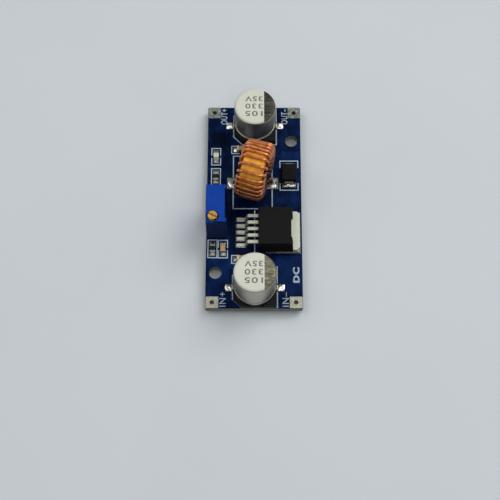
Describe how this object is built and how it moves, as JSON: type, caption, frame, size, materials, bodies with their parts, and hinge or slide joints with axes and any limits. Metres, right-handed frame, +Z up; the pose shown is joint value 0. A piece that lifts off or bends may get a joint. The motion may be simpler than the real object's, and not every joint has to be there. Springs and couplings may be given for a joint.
{
  "type": "buck converter module",
  "caption": "Step-down voltage converter board with ring inductor, two can capacitors, regulator, diode and a screw-adjusted trimmer.",
  "frame": {"origin": "centre of the board in plan, on the surface that the solder stubs under the board stand on", "axes": "+X across the board from the trimmer side to the diode side, +Y along the board to the output end, +Z up from the side that carries the parts"},
  "size_m": [0.023, 0.054, 0.0173],
  "materials": {
    "solder_mask": "glossy navy solder mask over glass-epoxy laminate, olive cut edges",
    "print_ink": "pale screen-printed ink",
    "tinned_pad": "dull hot-tinned copper",
    "can_metal": "drawn aluminium can, satin, with a pale lacquered top",
    "base_plastic": "black moulded plastic",
    "lead_metal": "tinned lead",
    "core_powder": "yellow painted iron powder ring",
    "winding_wire": "enamelled copper wire",
    "mould_compound": "near-black moulding compound, fine matt grain",
    "tab_metal": "bright tinned copper tab",
    "trimmer_plastic": "mid-blue moulded plastic, satin",
    "screw_brass": "turned brass",
    "seal_rubber": "black rubber ring",
    "rotor_plastic": "natural moulded plastic",
    "contact_metal": "thin spring alloy",
    "white_ceramic": "white ceramic",
    "potting_epoxy": "blue casting resin",
    "lens_resin": "milky clear resin",
    "resistor_glaze": "black glaze",
    "tan_ceramic": "tan fired ceramic",
    "solder": "bright solder"
  },
  "bodies": {
    "module": {"circuit_board": "solder_mask", "screen_print": "print_ink", "output_plus_terminal": "tinned_pad", "output_minus_terminal": "tinned_pad", "input_plus_terminal": "tinned_pad", "input_minus_terminal": "tinned_pad", "capacitor_pads": "tinned_pad", "inductor_pads": "tinned_pad", "regulator_pads": "tinned_pad", "diode_pads": "tinned_pad", "chip_pads": "tinned_pad", "underside_pads": "tinned_pad", "output_capacitor_can": "can_metal", "output_capacitor_base": "base_plastic", "output_capacitor_leads": "lead_metal", "input_capacitor_can": "can_metal", "input_capacitor_base": "base_plastic", "input_capacitor_leads": "lead_metal", "inductor_core": "core_powder", "inductor_winding": "winding_wire", "regulator_body": "mould_compound", "regulator_tab": "tab_metal", "regulator_leads": "lead_metal", "diode_body": "mould_compound", "diode_leads": "lead_metal", "trimmer_housing": "trimmer_plastic", "trimmer_seal_ring": "seal_rubber", "trimmer_element": "white_ceramic", "trimmer_pins": "lead_metal", "trimmer_potting": "potting_epoxy", "power_led_base": "white_ceramic", "power_led_lens": "lens_resin", "power_led_ends": "lead_metal", "led_resistor_body": "white_ceramic", "led_resistor_coat": "resistor_glaze", "led_resistor_ends": "lead_metal", "divider_resistor_body": "white_ceramic", "divider_resistor_coat": "resistor_glaze", "divider_resistor_ends": "lead_metal", "divider_ceramic_body": "tan_ceramic", "divider_ceramic_ends": "lead_metal", "output_ceramic_body": "tan_ceramic", "output_ceramic_ends": "lead_metal", "input_ceramic_body": "tan_ceramic", "input_ceramic_ends": "lead_metal", "capacitor_solder": "solder", "inductor_solder": "solder", "regulator_solder": "solder", "diode_solder": "solder", "chip_solder": "solder", "underside_solder": "solder"},
    "trimmer_screw": {"trimmer_screw": "screw_brass"},
    "trimmer_rotor": {"trimmer_rotor": "rotor_plastic", "trimmer_wiper": "contact_metal"}
  },
  "joints": [
    {"name": "trimmer_screw_turn", "type": "hinge", "parent": "module", "child": "trimmer_screw", "pos_m": [-0.00973, -0.00766, 0.0126], "axis": [0, 0, 1], "range_deg": [-4500, 4500]},
    {"name": "trimmer_rotor_turn", "type": "hinge", "parent": "module", "child": "trimmer_rotor", "pos_m": [-0.00973, -0.00402, 0.0077], "axis": [1, 0, 0], "range_deg": [-150.1, 150.1]}
  ],
  "couplings": [
    {"joint": "trimmer_rotor_turn", "follows": "trimmer_screw_turn", "ratio": 0.033333}
  ]
}
